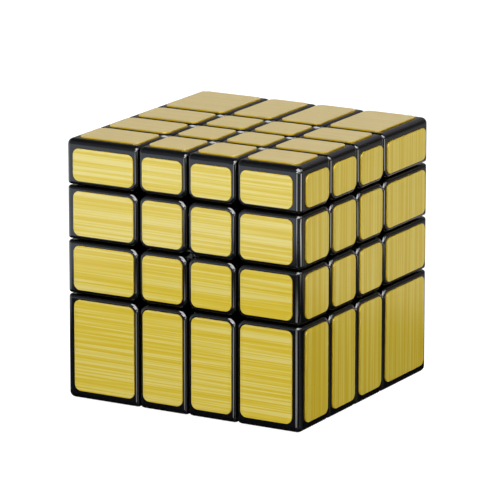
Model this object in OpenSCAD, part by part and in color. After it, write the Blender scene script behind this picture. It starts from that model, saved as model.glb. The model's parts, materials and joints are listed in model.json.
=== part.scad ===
// Mirror block cube: a four by four by four turning puzzle whose blocks all differ in size.
// Millimetres, +Z up, origin at the middle of the bottom face, front face towards -Y.
// Every block is one moulding with a foot that hooks behind its neighbours; the centre blocks
// hook behind eight caps screwed to a ball, and the four level layers turn on that ball.

/* [Overall] */
// Width, depth and height over the foils
cube_side = 60; // [56:1:70]
// Thickness of the gold foil stuck on each block
foil_t = 0.3; // [0.1:0.05:0.4]

/* [Layers] */
// Thickness of every inner layer, the same along all three axes
pitch = 12.4; // [12.2:0.1:13]
// Thickness of the outer layer on the left side
left_t = 18.9; // [17:0.1:21]
// Thickness of the outer layer on the front side
front_t = 13.5; // [12:0.1:16]
// Thickness of the outer layer on top
top_t = 10.8; // [10.2:0.1:13]
// Gap between neighbouring blocks
gap = 0.3; // [0.25:0.05:0.4]

/* [Block edges] */
// Edge radius where four blocks meet
meet_r = 2.2; // [1:0.1:2.6]
// Edge radius along a gap
rim_r = 0.8; // [0.4:0.1:1.2]
// Edge radius along the outside edges of the whole cube
cube_r = 1.4; // [0.8:0.1:1.8]
// Bare plastic between a foil and a gap
foil_rim = 1.0; // [0.9:0.1:1.6]
// Bare plastic between a foil and an outside edge of the cube
foil_edge = 2.0; // [1.6:0.1:2.4]
// Corner radius of a foil
foil_r = 1.5; // [0.6:0.1:2]

/* [Mechanism] */
// Radius of the core ball
ball_r = 11.7; // [11:0.1:11.8]
// Inner and outer radius of the shell that the centre feet run in
foot_in = 12; // [12:0.05:12.2]
foot_out = 15; // [14.6:0.1:15]
// Radius of the round stem shared by four centre blocks
stem_r = 3.2; // [2.8:0.1:3.2]
// Radius of the round foot shared by four centre blocks
foot_r = 4.8; // [4.2:0.1:4.8]
// Outer radius of the screwed core caps
cap_out = 18; // [17.6:0.1:18]
// Outer radius of the hooks on edge and corner blocks
hook_out = 23.05; // [22.9:0.05:23.1]
// How far a hook reaches behind the next block
hook_reach = 3; // [2:0.1:3.2]
// Radius of the posts that carry the caps
post_r = 1.9; // [1.7:0.1:1.9]
// Radius of a cap screw shank
screw_r = 0.7; // [0.6:0.05:0.8]
// Radius of a cap screw head
head_r = 1.5; // [1.3:0.1:1.5]

/* [Hidden] */
$fn = 96;
half_gap = gap / 2;
core = [left_t + pitch - cube_side / 2, front_t + pitch - cube_side / 2,
        cube_side - top_t - pitch];
// boundaries of the four layers along each axis, measured from the core centre
cuts = [
  [-left_t - pitch + foil_t, -pitch, 0, pitch, cube_side / 2 - core[0] - foil_t],
  [-front_t - pitch + foil_t, -pitch, 0, pitch, cube_side / 2 - core[1] - foil_t],
  [-core[2] + foil_t, -pitch, 0, pitch, top_t + pitch - foil_t]
];
hook_cut = pitch - hook_reach;
cap_in = foot_out + gap;
hook_in = cap_out + gap;
body_in = hook_out + gap;
cap_split = stem_r + gap;
// how far one feature runs into the next so that they join
bite = 1;
// distances along a diagonal from the core centre
seat = 14;
head_seat = 16.2;
head_h = 1.1;
screw_tip = 9;
post_root = 8;
screw_slack = 0.05;
clear_slack = 0.2;
head_slack = 0.1;
slot_w = 0.4;
slot_depth = 0.5;
slot_len = 2;
// longer than anything in the cube
reach = 80;

function outer(i) = i == 0 || i == 3;
// low and high face of cell i along an axis, with the gap taken off every cut face
function low(axis, i) = cuts[axis][i] + (i == 0 ? 0 : half_gap);
function high(axis, i) = cuts[axis][i + 1] - (i == 3 ? 0 : half_gap);
// the same cell where the hooks reach behind the next block
function hook_low(axis, i) =
  i == 0 ? -reach : (i == 1 ? -hook_cut : (i == 2 ? 0 : hook_cut)) + half_gap;
function hook_high(axis, i) =
  i == 3 ? reach : (i == 0 ? -hook_cut : (i == 1 ? 0 : hook_cut)) - half_gap;
// is the low (0) or high (1) face of cell i an outside face of the cube?
function outside(i, end) = (i == 0 && end == 0) || (i == 3 && end == 1);
function edge_r(a, b) = a && b ? cube_r : (a || b ? rim_r : meet_r);

// a rectangle with its own radius at each corner
module rounded_rect(lo, hi, radii) {
  difference() {
    translate(lo) square([hi[0] - lo[0], hi[1] - lo[1]]);
    for (a = [0, 1], b = [0, 1]) let (r = radii[a][b])
      translate([a == 0 ? lo[0] - 1 : hi[0] - r, b == 0 ? lo[1] - 1 : hi[1] - r])
        square(r + 1);
  }
  for (a = [0, 1], b = [0, 1]) let (r = radii[a][b])
    translate([a == 0 ? lo[0] + r : hi[0] - r, b == 0 ? lo[1] + r : hi[1] - r]) circle(r);
}

function radii_of(i, j) = [for (a = [0, 1]) [for (b = [0, 1])
  edge_r(outside(i, a), outside(j, b))]];

// the visible block of cell [i, j, k]: three crossed prisms give its rounded edges
module block(c) {
  lo = [for (n = [0:2]) low(n, c[n])];
  hi = [for (n = [0:2]) high(n, c[n])];
  intersection() {
    translate([0, 0, lo[2]]) linear_extrude(hi[2] - lo[2])
      rounded_rect([lo[0], lo[1]], [hi[0], hi[1]], radii_of(c[0], c[1]));
    translate([0, hi[1], 0]) rotate([90, 0, 0]) linear_extrude(hi[1] - lo[1])
      rounded_rect([lo[0], lo[2]], [hi[0], hi[2]], radii_of(c[0], c[2]));
    translate([lo[0], 0, 0]) rotate([90, 0, 90]) linear_extrude(hi[0] - lo[0])
      rounded_rect([lo[1], lo[2]], [hi[1], hi[2]], radii_of(c[1], c[2]));
  }
}

module box_between(lo, hi) { translate(lo) cube(hi - lo); }

// the hook of cell c: its stretch of the hook shell, kept inside the rounded outside edges
module hook(c) {
  lo = [for (n = [0:2]) max(hook_low(n, c[n]), cuts[n][0] + cube_r)];
  hi = [for (n = [0:2]) min(hook_high(n, c[n]), cuts[n][4] - cube_r)];
  intersection() {
    box_between(lo, hi);
    difference() { sphere(hook_out); sphere(hook_in); }
  }
}

// the part of the block that no neighbour's hook passes behind: it joins block and hook
module neck(c) {
  lo = [for (n = [0:2]) max(low(n, c[n]), hook_low(n, c[n]))];
  hi = [for (n = [0:2]) min(high(n, c[n]), hook_high(n, c[n]))];
  intersection() {
    block(c);
    difference() { box_between(lo, hi); sphere(hook_in); }
  }
}

// quarter of the round stem and foot that a centre block runs on, about its own axis
module centre_foot(c) {
  axis = outer(c[0]) ? 0 : (outer(c[1]) ? 1 : 2);
  lo = [for (n = [0:2]) n == axis ? (c[n] == 3 ? 0 : -reach) : (c[n] == 1 ? -reach : half_gap)];
  hi = [for (n = [0:2]) n == axis ? (c[n] == 3 ? reach : 0) : (c[n] == 1 ? -half_gap : reach)];
  turn = axis == 0 ? [0, 90, 0] : (axis == 1 ? [90, 0, 0] : [0, 0, 0]);
  intersection() {
    box_between(lo, hi);
    rotate(turn) union() {
      intersection() {
        cylinder(h = 2 * (hook_in + bite), r = stem_r, center = true);
        sphere(hook_in + bite);
      }
      intersection() {
        cylinder(h = 2 * foot_out, r = foot_r, center = true);
        sphere(foot_out);
      }
    }
    difference() { cube(2 * reach, center = true); sphere(foot_in); }
  }
}

// one moulded block with its hook, and its foot if it is a centre block
module piece(c) {
  translate(core) {
    difference() { block(c); sphere(body_in); }
    neck(c);
    hook(c);
    if (len([for (n = c) if (outer(n)) 1]) == 1) centre_foot(c);
  }
}

module black() { color([0.03, 0.03, 0.035]) children(); }

// the foil on the outside face of cell c that looks along the given axis
module foil_plate(c, axis) {
  u = axis == 0 ? 1 : 0;
  v = axis == 2 ? 1 : 2;
  lo = [for (n = [u, v]) low(n, c[n]) + (c[n] == 0 ? foil_edge : foil_rim)];
  hi = [for (n = [u, v]) high(n, c[n]) - (c[n] == 3 ? foil_edge : foil_rim)];
  r = [[foil_r, foil_r], [foil_r, foil_r]];
  face = c[axis] == 3 ? cuts[axis][4] : cuts[axis][0] - foil_t;
  translate(core) {
    if (axis == 0) translate([face, 0, 0]) rotate([90, 0, 90])
      linear_extrude(foil_t) rounded_rect(lo, hi, r);
    if (axis == 1) translate([0, face + foil_t, 0]) rotate([90, 0, 0])
      linear_extrude(foil_t) rounded_rect(lo, hi, r);
    if (axis == 2) translate([0, 0, face]) linear_extrude(foil_t) rounded_rect(lo, hi, r);
  }
}

module gold() { color([0.83, 0.7, 0.28]) children(); }

module level_foils(k) {
  gold() for (m = [0:3], side = [0, 3]) {
    foil_plate([side, m, k], 0);
    foil_plate([m, side, k], 1);
  }
}

module flat_foils(k) { gold() for (i = [0:3], j = [0:3]) foil_plate([i, j, k], 2); }

// place children along the diagonal of the octant with signs s
module on_diagonal(s) {
  rotate([0, 0, atan2(s[1], s[0])]) rotate([0, s[2] > 0 ? atan(sqrt(2)) : 180 - atan(sqrt(2)), 0])
    children();
}

module each_octant() {
  for (sx = [-1, 1], sy = [-1, 1], sz = [-1, 1]) on_diagonal([sx, sy, sz]) children();
}

module core_ball() {
  color([0.16, 0.16, 0.17]) translate(core) difference() {
    union() {
      sphere(ball_r);
      each_octant() translate([0, 0, post_root]) cylinder(h = seat - post_root, r = post_r);
    }
    each_octant() translate([0, 0, screw_tip - bite])
      cylinder(h = seat, r = screw_r + screw_slack);
  }
}

module core_caps() {
  color([0.75, 0.75, 0.73]) translate(core)
    for (sx = [-1, 1], sy = [-1, 1], sz = [-1, 1]) difference() {
      union() {
        intersection() {
          difference() { sphere(cap_out); sphere(cap_in); }
          translate([sx * (cap_split + reach / 2), sy * (cap_split + reach / 2),
                     sz * (cap_split + reach / 2)]) cube(reach, center = true);
        }
        on_diagonal([sx, sy, sz]) translate([0, 0, seat]) 
          cylinder(h = cap_in + bite - seat, r = post_r);
      }
      on_diagonal([sx, sy, sz]) {
        translate([0, 0, seat - bite]) cylinder(h = cap_out - seat, r = screw_r + clear_slack);
        translate([0, 0, head_seat]) cylinder(h = cap_out, r = head_r + head_slack);
      }
    }
}

module core_screws() {
  color([0.6, 0.6, 0.62]) translate(core) each_octant() {
    translate([0, 0, screw_tip]) cylinder(h = head_seat + head_h / 2 - screw_tip, r = screw_r);
    difference() {
      translate([0, 0, head_seat]) cylinder(h = head_h, r = head_r);
      for (turn = [0, 90]) rotate([0, 0, turn])
        translate([-slot_len / 2, -slot_w / 2, head_seat + head_h - slot_depth])
          cube([slot_len, slot_w, bite]);
    }
  }
}

module top_front_left_corner() { black() piece([0, 0, 3]); }
module top_front_right_corner() { black() piece([3, 0, 3]); }
module top_back_left_corner() { black() piece([0, 3, 3]); }
module top_back_right_corner() { black() piece([3, 3, 3]); }
module bottom_front_left_corner() { black() piece([0, 0, 0]); }
module bottom_front_right_corner() { black() piece([3, 0, 0]); }
module bottom_back_left_corner() { black() piece([0, 3, 0]); }
module bottom_back_right_corner() { black() piece([3, 3, 0]); }
module top_front_edge_left() { black() piece([1, 0, 3]); }
module top_front_edge_right() { black() piece([2, 0, 3]); }
module top_back_edge_left() { black() piece([1, 3, 3]); }
module top_back_edge_right() { black() piece([2, 3, 3]); }
module top_left_edge_front() { black() piece([0, 1, 3]); }
module top_left_edge_back() { black() piece([0, 2, 3]); }
module top_right_edge_front() { black() piece([3, 1, 3]); }
module top_right_edge_back() { black() piece([3, 2, 3]); }
module bottom_front_edge_left() { black() piece([1, 0, 0]); }
module bottom_front_edge_right() { black() piece([2, 0, 0]); }
module bottom_back_edge_left() { black() piece([1, 3, 0]); }
module bottom_back_edge_right() { black() piece([2, 3, 0]); }
module bottom_left_edge_front() { black() piece([0, 1, 0]); }
module bottom_left_edge_back() { black() piece([0, 2, 0]); }
module bottom_right_edge_front() { black() piece([3, 1, 0]); }
module bottom_right_edge_back() { black() piece([3, 2, 0]); }
module upper_front_left_edge() { black() piece([0, 0, 2]); }
module upper_front_right_edge() { black() piece([3, 0, 2]); }
module upper_back_left_edge() { black() piece([0, 3, 2]); }
module upper_back_right_edge() { black() piece([3, 3, 2]); }
module lower_front_left_edge() { black() piece([0, 0, 1]); }
module lower_front_right_edge() { black() piece([3, 0, 1]); }
module lower_back_left_edge() { black() piece([0, 3, 1]); }
module lower_back_right_edge() { black() piece([3, 3, 1]); }
module top_centre_front_left() { black() piece([1, 1, 3]); }
module top_centre_front_right() { black() piece([2, 1, 3]); }
module top_centre_back_left() { black() piece([1, 2, 3]); }
module top_centre_back_right() { black() piece([2, 2, 3]); }
module bottom_centre_front_left() { black() piece([1, 1, 0]); }
module bottom_centre_front_right() { black() piece([2, 1, 0]); }
module bottom_centre_back_left() { black() piece([1, 2, 0]); }
module bottom_centre_back_right() { black() piece([2, 2, 0]); }
module upper_front_centres() { black() { piece([1, 0, 2]); piece([2, 0, 2]); } }
module upper_back_centres() { black() { piece([1, 3, 2]); piece([2, 3, 2]); } }
module upper_left_centres() { black() { piece([0, 1, 2]); piece([0, 2, 2]); } }
module upper_right_centres() { black() { piece([3, 1, 2]); piece([3, 2, 2]); } }
module lower_front_centres() { black() { piece([1, 0, 1]); piece([2, 0, 1]); } }
module lower_back_centres() { black() { piece([1, 3, 1]); piece([2, 3, 1]); } }
module lower_left_centres() { black() { piece([0, 1, 1]); piece([0, 2, 1]); } }
module lower_right_centres() { black() { piece([3, 1, 1]); piece([3, 2, 1]); } }

module top_foils() { flat_foils(3); }
module bottom_foils() { flat_foils(0); }
module top_layer_side_foils() { level_foils(3); }
module upper_layer_side_foils() { level_foils(2); }
module lower_layer_side_foils() { level_foils(1); }
module bottom_layer_side_foils() { level_foils(0); }

core_ball();
core_caps();
core_screws();
top_front_left_corner();
top_front_right_corner();
top_back_left_corner();
top_back_right_corner();
bottom_front_left_corner();
bottom_front_right_corner();
bottom_back_left_corner();
bottom_back_right_corner();
top_front_edge_left();
top_front_edge_right();
top_back_edge_left();
top_back_edge_right();
top_left_edge_front();
top_left_edge_back();
top_right_edge_front();
top_right_edge_back();
bottom_front_edge_left();
bottom_front_edge_right();
bottom_back_edge_left();
bottom_back_edge_right();
bottom_left_edge_front();
bottom_left_edge_back();
bottom_right_edge_front();
bottom_right_edge_back();
upper_front_left_edge();
upper_front_right_edge();
upper_back_left_edge();
upper_back_right_edge();
lower_front_left_edge();
lower_front_right_edge();
lower_back_left_edge();
lower_back_right_edge();
top_centre_front_left();
top_centre_front_right();
top_centre_back_left();
top_centre_back_right();
bottom_centre_front_left();
bottom_centre_front_right();
bottom_centre_back_left();
bottom_centre_back_right();
upper_front_centres();
upper_back_centres();
upper_left_centres();
upper_right_centres();
lower_front_centres();
lower_back_centres();
lower_left_centres();
lower_right_centres();
top_foils();
top_layer_side_foils();
upper_layer_side_foils();
lower_layer_side_foils();
bottom_layer_side_foils();
bottom_foils();
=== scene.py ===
# A mirror block cube: 56 glossy black blocks with brushed gold foils, on a pale studio floor.
import json
import math

import bmesh
import bpy
from mathutils import Matrix, Vector

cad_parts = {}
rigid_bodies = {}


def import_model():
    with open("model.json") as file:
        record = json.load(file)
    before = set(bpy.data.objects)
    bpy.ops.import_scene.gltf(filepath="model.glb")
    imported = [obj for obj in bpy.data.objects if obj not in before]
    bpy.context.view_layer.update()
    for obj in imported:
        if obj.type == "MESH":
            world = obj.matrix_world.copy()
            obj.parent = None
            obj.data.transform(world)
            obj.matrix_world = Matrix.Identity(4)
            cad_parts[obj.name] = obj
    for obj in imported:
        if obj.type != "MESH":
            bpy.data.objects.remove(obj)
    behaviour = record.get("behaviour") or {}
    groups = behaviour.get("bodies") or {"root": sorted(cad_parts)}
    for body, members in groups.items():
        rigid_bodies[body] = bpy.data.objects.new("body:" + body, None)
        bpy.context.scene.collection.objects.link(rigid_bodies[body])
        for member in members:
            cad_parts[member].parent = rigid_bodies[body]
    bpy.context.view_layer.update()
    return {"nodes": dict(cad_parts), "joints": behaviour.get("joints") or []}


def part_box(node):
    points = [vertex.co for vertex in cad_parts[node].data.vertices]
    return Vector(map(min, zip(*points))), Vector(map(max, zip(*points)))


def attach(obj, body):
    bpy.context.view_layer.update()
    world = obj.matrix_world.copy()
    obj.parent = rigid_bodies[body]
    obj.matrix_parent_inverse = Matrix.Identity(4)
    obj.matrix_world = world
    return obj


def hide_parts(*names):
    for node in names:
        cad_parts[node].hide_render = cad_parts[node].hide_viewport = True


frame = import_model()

MM = 0.001
# All shapes are worked out in millimetres from the core centre, then placed in metres.
CORE = Vector(frame["joints"][0]["pos_m"])

# ---- sizes read from the CAD ----
_low, _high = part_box("upper_front_centres")
HALF_GAP = (_low.z - CORE.z) / MM
PITCH = (_high.z - CORE.z) / MM + HALF_GAP


def outer_faces():
    """Plastic face positions, low and high on each axis, in mm from the core centre."""
    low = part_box("bottom_front_left_corner")[0]
    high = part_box("top_back_right_corner")[1]
    return [((low[n] - CORE[n]) / MM, (high[n] - CORE[n]) / MM) for n in range(3)]


FACES = outer_faces()
CUTS = [[f[0], -PITCH, 0.0, PITCH, f[1]] for f in FACES]
_foil_low, _foil_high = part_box("top_foils")
FOIL_T = (_foil_high.z - _foil_low.z) / MM
FOIL_EDGE = (_foil_low.x - CORE.x) / MM - FACES[0][0]

# ---- sizes of the mouldings, in mm ----
MEET_R = 2.2    # where four blocks meet
RIM_R = 0.8     # along a gap
CUBE_R = 1.4    # along the cube's own edges
FOIL_RIM = 1.0
FOIL_CORNER = 1.5
FOIL_EASE = FOIL_T * 0.2
FOOT_IN, FOOT_OUT = 12.0, 15.0
STEM_R, FOOT_R = 3.2, 4.8
STEM_OVERLAP = 1.0
HOOK_IN, HOOK_OUT, BODY_IN = 18.3, 23.05, 23.35
HOOK_CUT = PITCH - 3.0
FAR = 80.0      # past everything, for cutters
ON_FACE = 1e-5

# ---- fineness of the round shapes ----
BEVEL_STEPS = 5
MEET_STEPS = 7
CORNER_STEPS = 8
EASE_STEPS = 3
FOOT_STEPS = 12
FOOT_SEGMENTS = 64
BALL_SEGMENTS = 96
BLOCK_SHARP, FOIL_SHARP = 32, 50    # degrees between faces that still shade as one

# Cells are (i, j, k), each 0 to 3: left to right, front to back, bottom to top.
LAYERS = {3: "top_layer", 2: "upper_layer", 1: "lower_layer", 0: "bottom_layer"}
LEFT_RIGHT = ("left", "left", "right", "right")
FRONT_BACK = ("front", "front", "back", "back")


# ---- helpers ----
def mesh_object(name, bm):
    mesh = bpy.data.meshes.new(name)
    bm.to_mesh(mesh)
    bm.free()
    obj = bpy.data.objects.new(name, mesh)
    bpy.context.scene.collection.objects.link(obj)
    return obj


def box_mesh(bm, lo, hi):
    made = bmesh.ops.create_cube(bm, size=1.0)
    size = [hi[n] - lo[n] for n in range(3)]
    mid = [(hi[n] + lo[n]) / 2 for n in range(3)]
    for v in made["verts"]:
        v.co = Vector([v.co[n] * size[n] + mid[n] for n in range(3)])


def box_object(lo, hi):
    bm = bmesh.new()
    box_mesh(bm, lo, hi)
    return mesh_object("cutter", bm)


def spun(profile, segments):
    """A solid turned about Z from (radius, height) points that start and end on the axis."""
    bm = bmesh.new()
    turn = [2 * math.pi * (s + 0.5) / segments for s in range(segments)]
    rings = []
    for radius, height in profile:
        rings.append([bm.verts.new((radius * math.cos(t), radius * math.sin(t), height))
                      for t in (turn if radius > 0.0 else turn[:1])])
    for a, b in zip(rings, rings[1:]):
        for s in range(segments):
            n = (s + 1) % segments
            corners = []
            for ring, step in ((a, s), (a, n), (b, n), (b, s)):
                v = ring[step] if len(ring) > 1 else ring[0]
                if v not in corners:
                    corners.append(v)
            bm.faces.new(corners)
    bmesh.ops.recalc_face_normals(bm, faces=bm.faces)
    return bm


def ball_object(radius):
    steps = BALL_SEGMENTS // 2
    profile = [(radius * math.sin(math.pi * i / steps) if 0 < i < steps else 0.0,
                -radius * math.cos(math.pi * i / steps)) for i in range(steps + 1)]
    return mesh_object("cutter", spun(profile, BALL_SEGMENTS))


def applied(obj):
    """Turns an object's modifiers into its mesh."""
    graph = bpy.context.evaluated_depsgraph_get()
    mesh = bpy.data.meshes.new_from_object(obj.evaluated_get(graph))
    obj.modifiers.clear()
    old = obj.data
    obj.data = mesh
    bpy.data.meshes.remove(old)
    return obj


def boolean(obj, other, operation):
    mod = obj.modifiers.new("cut", "BOOLEAN")
    mod.operation = operation
    mod.solver = "MANIFOLD"
    mod.object = other


def drop(*objs):
    for o in objs:
        mesh = o.data
        bpy.data.objects.remove(o)
        bpy.data.meshes.remove(mesh)


def is_outer(i):
    return i in (0, 3)


def cell(c):
    """The space of cell c, half a gap short of each neighbour."""
    lo = [CUTS[n][c[n]] + (0 if c[n] == 0 else HALF_GAP) for n in range(3)]
    hi = [CUTS[n][c[n] + 1] - (0 if c[n] == 3 else HALF_GAP) for n in range(3)]
    return lo, hi


def hook_cell(c):
    """The cell of a block where it reaches behind its neighbours."""
    starts = (-FAR, -HOOK_CUT + HALF_GAP, HALF_GAP, HOOK_CUT + HALF_GAP)
    ends = (-HOOK_CUT - HALF_GAP, -HALF_GAP, HOOK_CUT - HALF_GAP, FAR)
    return [starts[i] for i in c], [ends[i] for i in c]


def rounded_block(c):
    """The block of cell c: wide rounds between gap faces, then a fine round on every rim."""
    lo, hi = cell(c)
    bm = bmesh.new()
    box_mesh(bm, lo, hi)
    planes = [(n, lo[n] if c[n] == 0 else hi[n]) for n in range(3) if is_outer(c[n])]

    def outside(edge):
        """How many of the edge's faces lie on the outside of the cube."""
        return sum(any(all(abs(v.co[n] - at) < ON_FACE for v in face.verts) for n, at in planes)
                   for face in edge.link_faces)

    meeting = [e for e in bm.edges if outside(e) == 0]
    bmesh.ops.bevel(bm, geom=meeting, offset=MEET_R, segments=MEET_STEPS, profile=0.5,
                    affect="EDGES", clamp_overlap=True)
    weights = bm.edges.layers.float.new("bevel_weight_edge")
    for e in bm.edges:
        e[weights] = (0.0, RIM_R / CUBE_R, 1.0)[outside(e)]
    obj = mesh_object("block", bm)
    mod = obj.modifiers.new("rims", "BEVEL")
    mod.limit_method = "WEIGHT"
    mod.width = CUBE_R
    mod.segments = BEVEL_STEPS
    mod.use_clamp_overlap = False
    return applied(obj)


def foot_object(c):
    """The quarter of the round stem and foot that belongs to a centre block."""
    axis = [n for n in range(3) if is_outer(c[n])][0]
    shares = [i / FOOT_STEPS for i in range(FOOT_STEPS + 1)]
    top = HOOK_IN + STEM_OVERLAP
    profile = [(FOOT_R * s, FOOT_IN) for s in shares]
    profile += [(FOOT_R + (STEM_R - FOOT_R) * s, FOOT_OUT) for s in shares]
    profile += [(STEM_R, top), (0.0, top)]
    curved = [(r, math.sqrt(ball**2 - r**2)) for r, ball in profile]
    obj = mesh_object("foot", spun(curved, FOOT_SEGMENTS))
    if axis == 0:
        turn = Matrix.Rotation(math.radians(90 if c[0] == 3 else -90), 4, "Y")
    elif axis == 1:
        turn = Matrix.Rotation(math.radians(-90 if c[1] == 3 else 90), 4, "X")
    else:
        turn = Matrix.Rotation(0 if c[2] == 3 else math.pi, 4, "X")
    obj.data.transform(turn)
    lo = [-FAR if (n == axis or c[n] == 1) else HALF_GAP for n in range(3)]
    hi = [FAR if (n == axis or c[n] == 2) else -HALF_GAP for n in range(3)]
    quarter = box_object(lo, hi)
    boolean(obj, quarter, "INTERSECT")
    applied(obj)
    drop(quarter)
    return obj


# cutters that every block shares
BALL_BODY = ball_object(BODY_IN)
BALL_HOOK_IN = ball_object(HOOK_IN)
SHELL = ball_object(HOOK_OUT)
boolean(SHELL, BALL_HOOK_IN, "DIFFERENCE")
applied(SHELL)


def moulding(c):
    """One whole block: the visible part, its hook, and its foot if it is a centre block."""
    block = rounded_block(c)
    lo, hi = cell(c)
    hook_lo, hook_hi = hook_cell(c)
    neck = box_object([max(a, b) for a, b in zip(lo, hook_lo)],
                      [min(a, b) for a, b in zip(hi, hook_hi)])
    boolean(neck, block, "INTERSECT")
    boolean(neck, BALL_HOOK_IN, "DIFFERENCE")
    applied(neck)
    hook = box_object([max(hook_lo[n], CUTS[n][0] + CUBE_R) for n in range(3)],
                      [min(hook_hi[n], CUTS[n][4] - CUBE_R) for n in range(3)])
    boolean(hook, SHELL, "INTERSECT")
    applied(hook)
    extra = [neck, hook]
    if sum(is_outer(i) for i in c) == 1:
        extra.append(foot_object(c))
    boolean(block, BALL_BODY, "DIFFERENCE")
    for other in extra:
        boolean(block, other, "UNION")
    applied(block)
    drop(*extra)
    return block


def finished(obj, name, material, sharp):
    """Smooth shading with crisp corners, moved from mm about the core to its place."""
    obj.name = name
    obj.data.name = name
    obj.data.transform(Matrix.Translation(CORE) @ Matrix.Scale(MM, 4))
    obj.data.materials.clear()
    obj.data.materials.append(material)
    obj.data.shade_smooth()
    obj.data.set_sharp_from_angle(angle=math.radians(sharp))
    flat = obj.modifiers.new("even_faces", "WEIGHTED_NORMAL")
    flat.keep_sharp = True
    return obj


def joined(objs):
    """Several meshes as one object."""
    bm = bmesh.new()
    for o in objs:
        bm.from_mesh(o.data)
    drop(*objs)
    return mesh_object("joined", bm)


# ---- foils ----
def foil_outline(lo, hi, inset):
    """The points of a rounded rectangle, this much inside its full size."""
    left, right = lo[0] + FOIL_CORNER, hi[0] - FOIL_CORNER
    low, high = lo[1] + FOIL_CORNER, hi[1] - FOIL_CORNER
    r = FOIL_CORNER - inset
    points = []
    for cx, cy, start in ((right, high, 0), (left, high, 90), (left, low, 180), (right, low, 270)):
        for s in range(CORNER_STEPS + 1):
            t = math.radians(start + 90 * s / CORNER_STEPS)
            points.append((cx + r * math.cos(t), cy + r * math.sin(t)))
    return points


def foil_plate(bm, c, axis):
    """A thin plate with an eased rim on one outside face of cell c."""
    u, v = [n for n in range(3) if n != axis]
    lo, hi = cell(c)
    low = [lo[n] + (FOIL_EDGE if c[n] == 0 else FOIL_RIM) for n in (u, v)]
    high = [hi[n] - (FOIL_EDGE if c[n] == 3 else FOIL_RIM) for n in (u, v)]
    sign = 1 if c[axis] == 3 else -1
    face = FACES[axis][1] if sign > 0 else FACES[axis][0]
    cut = bm.verts.layers.float.get("cut_edge") or bm.verts.layers.float.new("cut_edge")
    # (inset, height, is it on the cut edge): the foot of the edge, then the eased rim
    rings = [(0.0, 0.0, 1.0)]
    for step in range(EASE_STEPS + 1):
        t = math.radians(90 * step / EASE_STEPS)
        rings.append((FOIL_EASE * (1 - math.cos(t)), FOIL_T - FOIL_EASE * (1 - math.sin(t)),
                      0.0 if step == EASE_STEPS else 1.0))
    loops = []
    for inset, height, on_edge in rings:
        loop = []
        for a, b in foil_outline(low, high, inset):
            p = [0.0, 0.0, 0.0]
            p[u], p[v], p[axis] = a, b, face + sign * height
            corner = bm.verts.new(p)
            corner[cut] = on_edge
            loop.append(corner)
        loops.append(loop)
    for a, b in zip(loops, loops[1:]):
        for s in range(len(a)):
            n = (s + 1) % len(a)
            bm.faces.new((a[s], a[n], b[n], b[s]))
    bm.faces.new(loops[0][::-1])
    bm.faces.new(loops[-1])


def foil_group(name, members, body):
    """One CAD foil node: a plate for each (cell, axis), on the layer that carries it."""
    bm = bmesh.new()
    for c, axis in members:
        foil_plate(bm, c, axis)
    bmesh.ops.recalc_face_normals(bm, faces=bm.faces)
    obj = mesh_object(name, bm)
    finished(obj, "foil_plates_" + name, GOLD, FOIL_SHARP)
    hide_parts(name)
    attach(obj, body)


# ---- materials ----
class Nodes:
    """Shorthand for wiring up one node tree."""

    def __init__(self, tree):
        self.tree = tree
        self.coords = self.add("TexCoord").outputs

    def add(self, kind, **settings):
        node = self.tree.nodes.new("ShaderNode" + kind)
        for key, value in settings.items():
            setattr(node, key, value)
        return node

    def link(self, a, b):
        self.tree.links.new(a, b)

    def split(self, vector):
        node = self.add("SeparateXYZ")
        self.link(vector, node.inputs[0])
        return node.outputs

    def math(self, operation, *values):
        node = self.add("Math", operation=operation)
        for socket, value in zip(node.inputs, values):
            if isinstance(value, (int, float)):
                socket.default_value = value
            else:
                self.link(value, socket)
        return node.outputs[0]

    def noise(self, vector, scale, detail):
        node = self.add("TexNoise")
        node.inputs["Scale"].default_value = scale
        node.inputs["Detail"].default_value = detail
        node.inputs["Roughness"].default_value = NOISE_ROUGH
        self.link(vector, node.inputs["Vector"])
        return node.outputs["Fac"]

    def ramp(self, value, stops):
        node = self.add("ValToRGB")
        elements = node.color_ramp.elements
        elements.remove(elements[-1])
        for i, (at, colour) in enumerate(stops):
            e = elements[0] if i == 0 else elements.new(at)
            e.position = at
            e.color = (*colour, 1.0)
        self.link(value, node.inputs[0])
        return node.outputs["Color"]

    def range(self, value, low, high, to_low, to_high):
        node = self.add("MapRange")
        self.link(value, node.inputs["Value"])
        for key, number in (("From Min", low), ("From Max", high),
                            ("To Min", to_low), ("To Max", to_high)):
            node.inputs[key].default_value = number
        return node.outputs[0]

    def mix(self, factor, base, colour, blend_type="MIX"):
        """Colour over base, as far as the factor says."""
        node = self.add("Mix", data_type="RGBA", blend_type=blend_type)
        self.link(factor, node.inputs["Factor"])
        self.link(base, node.inputs["A"])
        node.inputs["B"].default_value = (*colour, 1.0)
        return node.outputs["Result"]


class Surface(Nodes):
    """The node tree of a new material."""

    def __init__(self, name):
        self.material = bpy.data.materials.new(name)
        self.material.use_nodes = True
        super().__init__(self.material.node_tree)
        self.shader = self.tree.nodes["Principled BSDF"]

    def set(self, **values):
        """Gives the shader numbers, colours or links, with _ for a space in a name."""
        for key, value in values.items():
            socket = self.shader.inputs[key.replace("_", " ")]
            if isinstance(value, (float, tuple)):
                socket.default_value = value
            else:
                self.link(value, socket)

    def bump(self, height, strength):
        node = self.add("Bump")
        node.inputs["Strength"].default_value = strength
        node.inputs["Distance"].default_value = BUMP_DEPTH
        self.link(height, node.inputs["Height"])
        self.set(Normal=node.outputs["Normal"])

    def show(self, output):
        """Makes another shader than the Principled one the material's surface."""
        self.link(output, self.tree.nodes["Material Output"].inputs["Surface"])


NOISE_ROUGH = 0.55
NOISE_LOW, NOISE_HIGH = 0.3, 0.7    # nearly all of a noise lies between these
BUMP_DEPTH = 0.02 * MM
CLOUD_SIZE = 9 * MM
WEAR_SIZE = 0.8 * MM


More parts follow.
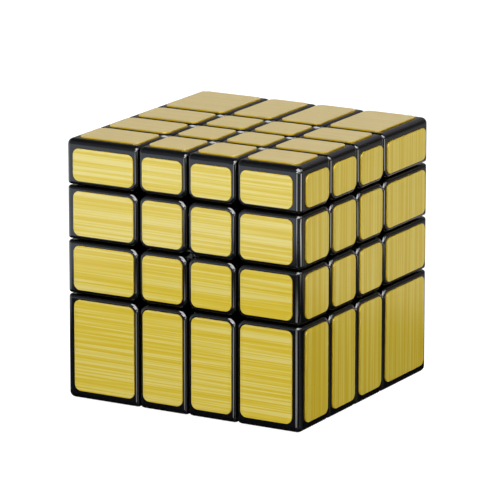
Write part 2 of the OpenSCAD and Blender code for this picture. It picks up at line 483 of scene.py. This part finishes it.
def plastic(name, colour, roughness, spread, grain_mm, bump):
    """Plastic with faint clouds in its gloss and a fine grain."""
    n = Surface(name)
    cloudy = n.noise(n.coords["Object"], 1.0 / CLOUD_SIZE, 3.0)
    n.set(Base_Color=(*colour, 1.0),
          Roughness=n.range(cloudy, NOISE_LOW, NOISE_HIGH, roughness - spread, roughness + spread))
    n.bump(n.noise(n.coords["Object"], 1.0 / (grain_mm * MM), 2.0), bump)
    return n.material


# period across the streaks in mm, how many times longer they are, seed, share of the mix
STREAKS = ((0.9, 60, 1.7, 0.34), (0.40, 120, 5.1, 0.42), (0.22, 200, 9.4, 0.24))
SIDE_SEED = 7.3     # so that the left and right foils are streaked otherwise
GOLD_STOPS = ((0.40, (0.510, 0.370, 0.018)),
              (0.50, (0.535, 0.412, 0.044)),
              (0.60, (0.572, 0.474, 0.132)))
LEVEL_SHEEN_GOLD, LEVEL_SHEEN_SHARE = (0.545, 0.42, 0.19), 0.8      # painted sheen: the top and bottom foils made paler
SIDE_REFLECTION_TINT = (1.0, 0.975, 0.6)                           # painted reflection: the left and right foils tinted warmer
CUT_EDGE_SHADE_GOLD = (0.50, 0.335, 0.007)                         # painted shade: the foils' cut edges and eased rims made darker
FOIL_ROUGHNESS, FOIL_BUMP = (0.42, 0.34), 0.12
FACES_AXIS = 0.6    # a normal with this much of an axis in it faces along that axis


def brushed_foil(name):
    """Gold film with streaks: level on the front and back, upright on the left and right."""
    n = Surface(name)
    x, y, z = n.split(n.coords["Object"])
    normal = n.split(n.coords["Normal"])
    on_x, on_y = (n.math("GREATER_THAN", n.math("ABSOLUTE", normal[i]), FACES_AXIS) for i in (0, 1))
    not_x, not_y = (n.math("SUBTRACT", 1.0, on) for on in (on_x, on_y))
    # across the streaks: z on the front and back, y elsewhere; along them: z on the sides
    across = n.math("ADD", n.math("MULTIPLY", z, on_y), n.math("MULTIPLY", y, not_y))
    along = n.math("ADD", n.math("MULTIPLY", z, on_x), n.math("MULTIPLY", x, not_x))

    def streaks(period_mm, stretch, seed):
        node = n.add("CombineXYZ")
        n.link(n.math("MULTIPLY", across, 1.0 / (period_mm * MM)), node.inputs[0])
        n.link(n.math("MULTIPLY", along, 1.0 / (period_mm * stretch * MM)), node.inputs[1])
        n.link(n.math("ADD", n.math("MULTIPLY", on_x, SIDE_SEED), seed), node.inputs[2])
        return n.noise(node.outputs[0], 1.0, 0.0)

    noises = [streaks(*row[:3]) for row in STREAKS]
    broad, fine, hair = (n.math("MULTIPLY", noise, row[3]) for noise, row in zip(noises, STREAKS))
    colour = n.ramp(n.math("ADD", broad, n.math("ADD", fine, hair)), GOLD_STOPS)
    # painted sheen: the top and bottom foils are made paler than the sides
    level = n.math("MULTIPLY", n.math("MULTIPLY", not_x, not_y), LEVEL_SHEEN_SHARE)
    colour = n.mix(level, colour, LEVEL_SHEEN_GOLD)
    # painted reflection: the left and right foils are tinted warmer and deeper
    colour = n.mix(on_x, colour, SIDE_REFLECTION_TINT, "MULTIPLY")
    # painted shade: the cut edges and eased rims are darker, dimming the light they catch
    colour = n.mix(n.add("Attribute", attribute_name="cut_edge").outputs["Fac"], colour, CUT_EDGE_SHADE_GOLD)
    n.set(Base_Color=colour,
          Roughness=n.range(noises[1], NOISE_LOW, NOISE_HIGH, *FOIL_ROUGHNESS),
          Metallic=0.20, Specular_IOR_Level=0.15,
          Coat_Weight=1.0, Coat_Roughness=0.03, Coat_IOR=1.5)
    n.bump(noises[1], FOIL_BUMP)
    return n.material


def screw_steel(name):
    """Steel, worn in small patches."""
    n = Surface(name)
    wear = n.noise(n.coords["Object"], 1.0 / WEAR_SIZE, 4.0)
    shine = n.ramp(wear, ((NOISE_LOW, (0.42, 0.42, 0.43)), (NOISE_HIGH, (0.62, 0.61, 0.6))))
    n.set(Metallic=1.0, Base_Color=shine,
          Roughness=n.range(wear, NOISE_LOW, NOISE_HIGH, 0.25, 0.45))
    return n.material


# colour, roughness and its spread, size of the grain in mm, bump
BLACK = plastic("glossy_black_plastic", (0.0015, 0.0016, 0.0019), 0.055, 0.018, 1.6, 0.03)
CORE_PLASTIC = plastic("dark_core_plastic", (0.03, 0.03, 0.033), 0.45, 0.06, 0.5, 0.2)
CAP_PLASTIC = plastic("pale_cap_plastic", (0.55, 0.55, 0.52), 0.4, 0.06, 0.5, 0.2)
GOLD = brushed_foil("brushed_gold_film")
STEEL = screw_steel("screw_steel")

for node, material in (("core_ball", CORE_PLASTIC), ("core_caps", CAP_PLASTIC),
                       ("core_screws", STEEL)):
    mesh = frame["nodes"][node].data
    mesh.materials.clear()
    mesh.materials.append(material)


# ---- blocks ----
def block_name(i, j, k):
    """The CAD node of the block of one cell; the side centre blocks share one in pairs."""
    level, x, y = LAYERS[k].removesuffix("_layer"), LEFT_RIGHT[i], FRONT_BACK[j]
    flat = is_outer(k)
    if is_outer(i) and is_outer(j):
        return f"{level}_{y}_{x}_corner" if flat else f"{level}_{y}_{x}_edge"
    if is_outer(j):
        return f"{level}_{y}_edge_{x}" if flat else f"{level}_{y}_centres"
    if is_outer(i):
        return f"{level}_{x}_edge_{y}" if flat else f"{level}_{x}_centres"
    return f"{level}_centre_{y}_{x}"


def block_nodes():
    """Each CAD block node with the cells it is made of."""
    found = {}
    for c in ((i, j, k) for k in (3, 0, 2, 1) for i in range(4) for j in range(4)):
        if any(is_outer(n) for n in c):
            found.setdefault(block_name(*c), []).append(c)
    return found


for node, cells in block_nodes().items():
    parts = [moulding(c) for c in cells]
    obj = parts[0] if len(parts) == 1 else joined(parts)
    finished(obj, "block_" + node, BLACK, BLOCK_SHARP)
    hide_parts(node)
    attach(obj, LAYERS[cells[0][2]])

drop(BALL_BODY, BALL_HOOK_IN, SHELL)

ENDS = (0, 3)
for k, layer in LAYERS.items():
    sides = [((side, m, k), 0) for m in range(4) for side in ENDS]
    sides += [((m, side, k), 1) for m in range(4) for side in ENDS]
    foil_group(f"{layer}_side_foils", sides, layer)
for k, level in ((3, "top"), (0, "bottom")):
    foil_group(f"{level}_foils", [((i, j, k), 2) for i in range(4) for j in range(4)], LAYERS[k])


# ---- stage ----
def square(name, reach, steps):
    """A level sheet that reaches this far each way from its middle."""
    bm = bmesh.new()
    bmesh.ops.create_grid(bm, x_segments=steps, y_segments=steps, size=reach)
    return mesh_object(name, bm)


FLOOR_REACH = 1.6
PAPER_DARK, PAPER_LIGHT, PAPER_GLOW = 0.19, 0.21, 0.97
floor = square("floor", FLOOR_REACH, steps=8)
paper = Surface("pale_paper")
shade = paper.noise(paper.coords["Object"], 3.0, 2.0)
tone = paper.ramp(shade, ((NOISE_LOW, (PAPER_DARK,) * 3), (NOISE_HIGH, (PAPER_LIGHT,) * 3)))
paper.set(Base_Color=tone, Roughness=0.9,
          Emission_Color=(1.0, 1.0, 1.0, 1.0), Emission_Strength=PAPER_GLOW)
floor.data.materials.append(paper.material)
floor.visible_glossy = False


def glossy_only(obj):
    """Makes a stage piece that only reflections see."""
    for kind in ("camera", "diffuse", "transmission", "volume_scatter", "shadow"):
        setattr(obj, "visible_" + kind, False)


# painted shade for reflections: where the dark sheet lies, where it fades and how dark it is
SHADE_SHEET_CENTRE = (0.035, -0.060, -0.0005)
SHADE_SHEET_START, SHADE_SHEET_END, SHADE_SHEET_DEPTH = 0.122, 0.160, 0.985


def dark_mat():
    """Painted shade seen only in reflections: a dark glossy sheet, fading out at its rim, so that
    the low blocks mirror less light.
    """
    obj = square("dark_mat", SHADE_SHEET_END, steps=1)
    obj.location = SHADE_SHEET_CENTRE
    n = Surface("dark_mat")
    n.set(Base_Color=(0.0, 0.0, 0.0, 1.0), Roughness=0.03, IOR=1.15)
    length = n.add("VectorMath", operation="LENGTH")
    n.link(n.coords["Object"], length.inputs[0])
    blend = n.add("MixShader")
    n.link(n.range(length.outputs["Value"], SHADE_SHEET_START, SHADE_SHEET_END, SHADE_SHEET_DEPTH, 0.0), blend.inputs[0])
    n.link(n.add("BsdfTransparent").outputs[0], blend.inputs[1])
    n.link(n.shader.outputs[0], blend.inputs[2])
    n.show(blend.outputs[0])
    obj.data.materials.append(n.material)
    glossy_only(obj)
    return n.material


def made_of(name, materials):
    """A collection of the pieces made of these materials, for lights meant for them alone."""
    group = bpy.data.collections.new(name)
    for piece in bpy.data.objects:
        if piece.type == "MESH" and any(m in materials for m in piece.data.materials):
            group.objects.link(piece)
    return group


MIRRORS = made_of("mirrors", (BLACK, dark_mat()))
FOILS = made_of("foils", (GOLD,))
LIGHT_Y = -0.530


def standing_light(name, x0, x1, z0, z1, soft, low, radiance):
    """An upright light in front of the cube, for the mirrors: low at its foot, full above soft."""
    bm = bmesh.new()
    corners = ((x0, z0), (x1, z0), (x1, z1), (x0, z1))
    bm.faces.new([bm.verts.new((x, LIGHT_Y, z)) for x, z in corners])
    obj = mesh_object(name, bm)
    n = Surface(name)
    glow = n.add("Emission")
    height = n.split(n.coords["Object"])[2]
    n.link(n.range(height, z0, z0 + soft, low, radiance), glow.inputs["Strength"])
    n.show(glow.outputs[0])
    obj.data.materials.append(n.material)
    glossy_only(obj)
    obj.light_linking.receiver_collection = MIRRORS


# name, x from and to, z from and to, soft, low, radiance
# the two boards are dim: they hide the softbox from the painted shade sheet
standing_light("wide_light", -0.108, 0.200, 0.095, 0.152, 0.022, 0.0, 40.0)
standing_light("low_board", 0.201, 0.350, 0.095, 0.190, 0.001, 0.45, 0.45)
standing_light("tall_board", 0.350, 1.200, 0.095, 0.300, 0.001, 0.45, 0.45)

# The world is coloured AROUND, and as bright as UPWARD x WORLD_PEAK, plus two upright strips.
# AROUND and STRIPS: 0 and 1 are the back, 0.25 the left, 0.5 the front and 0.75 the right.
# UPWARD and STRIP_BAND: 0 is straight down, 0.5 level and 1 straight up.
AROUND = ((0.0, (0.72, 0.72, 0.98)), (0.035, (0.62, 0.62, 0.72)), (0.083, (0.52, 0.50, 0.42)),
          (0.14, (0.55, 0.55, 0.60)), (0.25, (0.80, 0.84, 0.88)), (0.36, (0.74, 0.82, 0.91)),
          (0.43, (0.66, 0.75, 0.86)), (0.465, (0.32, 0.34, 0.36)), (0.54, (0.24, 0.24, 0.24)),
          (0.66, (0.26, 0.26, 0.25)), (0.80, (0.26, 0.26, 0.25)), (0.86, (0.40, 0.38, 0.34)),
          (0.895, (0.40, 0.38, 0.34)), (0.917, (0.14, 0.14, 0.14)), (0.945, (0.35, 0.33, 0.30)),
          (0.97, (0.70, 0.64, 0.60)), (1.0, (0.72, 0.72, 0.98)))
UPWARD = ((0.2, 0.6), (0.35, 0.95), (0.46, 1.0), (0.5, 0.85), (0.535, 0.32), (0.68, 0.25),
          (0.8, 0.06), (1.0, 0.04))
WORLD_PEAK = 2.0
STRIPS = ((0.0, 0.0), (0.479, 0.0), (0.484, 0.65), (0.520, 0.65), (0.525, 0.0), (0.690, 0.0),
          (0.697, 0.95), (0.738, 0.95), (0.745, 0.0))
STRIP_BAND = ((0.385, 0.0), (0.405, 1.0), (0.435, 1.0), (0.45, 0.0))
STRIP_PEAK = 42.0


def studio():
    """What the cube mirrors: pale at the back and left, dim overhead, strips front and right."""
    world = bpy.data.worlds.new("studio")
    bpy.context.scene.world = world
    world.use_nodes = True
    n = Nodes(world.node_tree)
    x, y, z = n.split(n.coords["Generated"])
    turns = n.math("DIVIDE", n.math("ARCTAN2", x, n.math("MULTIPLY", y, -1.0)), 2 * math.pi)
    azimuth = n.math("ADD", turns, 0.5)
    height = n.math("ADD", n.math("DIVIDE", n.math("ARCSINE", z), math.pi), 0.5)

    def grey(value, stops):
        return n.ramp(value, [(at, (v, v, v)) for at, v in stops])

    upward = n.math("MULTIPLY", grey(height, UPWARD), WORLD_PEAK)
    strips = n.math("MULTIPLY", grey(azimuth, STRIPS), grey(height, STRIP_BAND))
    back = n.tree.nodes["Background"]
    n.link(n.ramp(azimuth, AROUND), back.inputs["Color"])
    n.link(n.math("ADD", upward, n.math("MULTIPLY", strips, STRIP_PEAK)), back.inputs["Strength"])


studio()


def panel(name, direction, distance, width, height, radiance, across=(0, 0, 1), diffuse=True):
    """A soft light that faces the core: a diffuse one isn't mirrored, and any other only is."""
    data = bpy.data.lights.new(name, "AREA")
    data.shape = "RECTANGLE"
    data.size, data.size_y = width, height
    data.energy = radiance * math.pi * width * height
    away = Vector(direction).normalized()
    side = Vector(across)
    side = (side - away * side.dot(away)).normalized()
    obj = bpy.data.objects.new(name, data)
    bpy.context.scene.collection.objects.link(obj)
    axes = Matrix((side, away.cross(side), away)).transposed().to_4x4()
    obj.matrix_world = Matrix.Translation(CORE + away * distance) @ axes
    obj.visible_diffuse = diffuse
    obj.visible_glossy = not diffuse
    return obj


# name, direction, distance, width, height, radiance, the way its width runs
panel("key", (0.5, -0.5, 0.72), 1.0, 0.42, 0.42, 7.2)
panel("overhead", (0.0, 0.0, 1.0), 0.9, 0.5, 0.5, 11.0, (1, 0, 0))
panel("front_fill", (-0.5, -0.85, 0.1), 1.0, 0.42, 0.42, 6.4)
panel("right_fill", (0.9, -0.3, 0.3), 1.0, 0.42, 0.42, 0.8)
SOFTBOX_AT, SOFTBOX_ACROSS = (0.377, -0.675, 0.633), (0.70, -0.094, -0.708)
for name, radiance, seen_by in (("softbox", 13.0, MIRRORS), ("foil_softbox", 5.0, FOILS)):
    soft = panel(name, SOFTBOX_AT, 0.9, 1.6, 0.8, radiance, SOFTBOX_ACROSS, diffuse=False)
    soft.light_linking.receiver_collection = seen_by
panel("side_softbox", (0.765, -0.04, 0.643), 0.9, 0.9, 0.6, 5.0, (0.43, 0.84, -0.3), diffuse=False)

# ---- camera ----
AZIMUTH, ELEVATION, ROLL = 29.70, 14.08, 0.04   # degrees
DISTANCE = 0.9668
AIM_RIGHT, AIM_UP = 0.00017, 0.00142            # from the middle of the cube, in the picture
FOCAL_PIXELS, FRAME_PIXELS, SENSOR_MM = 4304.8, 500, 36.0
CUBE_SIDE = 0.060
az, el = math.radians(AZIMUTH), math.radians(ELEVATION)
ahead = Vector((-math.sin(az) * math.cos(el), math.cos(az) * math.cos(el), -math.sin(el)))
right = Vector((math.cos(az), math.sin(az), 0.0))
up = right.cross(ahead)
target = Vector((0, 0, CUBE_SIDE / 2)) + right * AIM_RIGHT + up * AIM_UP
camera_data = bpy.data.cameras.new("camera")
camera_data.sensor_width = SENSOR_MM
camera_data.lens = FOCAL_PIXELS / FRAME_PIXELS * SENSOR_MM
camera_data.clip_start = 0.01
camera = bpy.data.objects.new("camera", camera_data)
bpy.context.scene.collection.objects.link(camera)
axes = Matrix((right, up, -ahead)).transposed().to_4x4()
roll = Matrix.Rotation(math.radians(ROLL), 4, "Z")
camera.matrix_world = Matrix.Translation(target - ahead * DISTANCE) @ axes @ roll
bpy.context.scene.camera = camera
bpy.context.scene.view_settings.view_transform = "Standard"
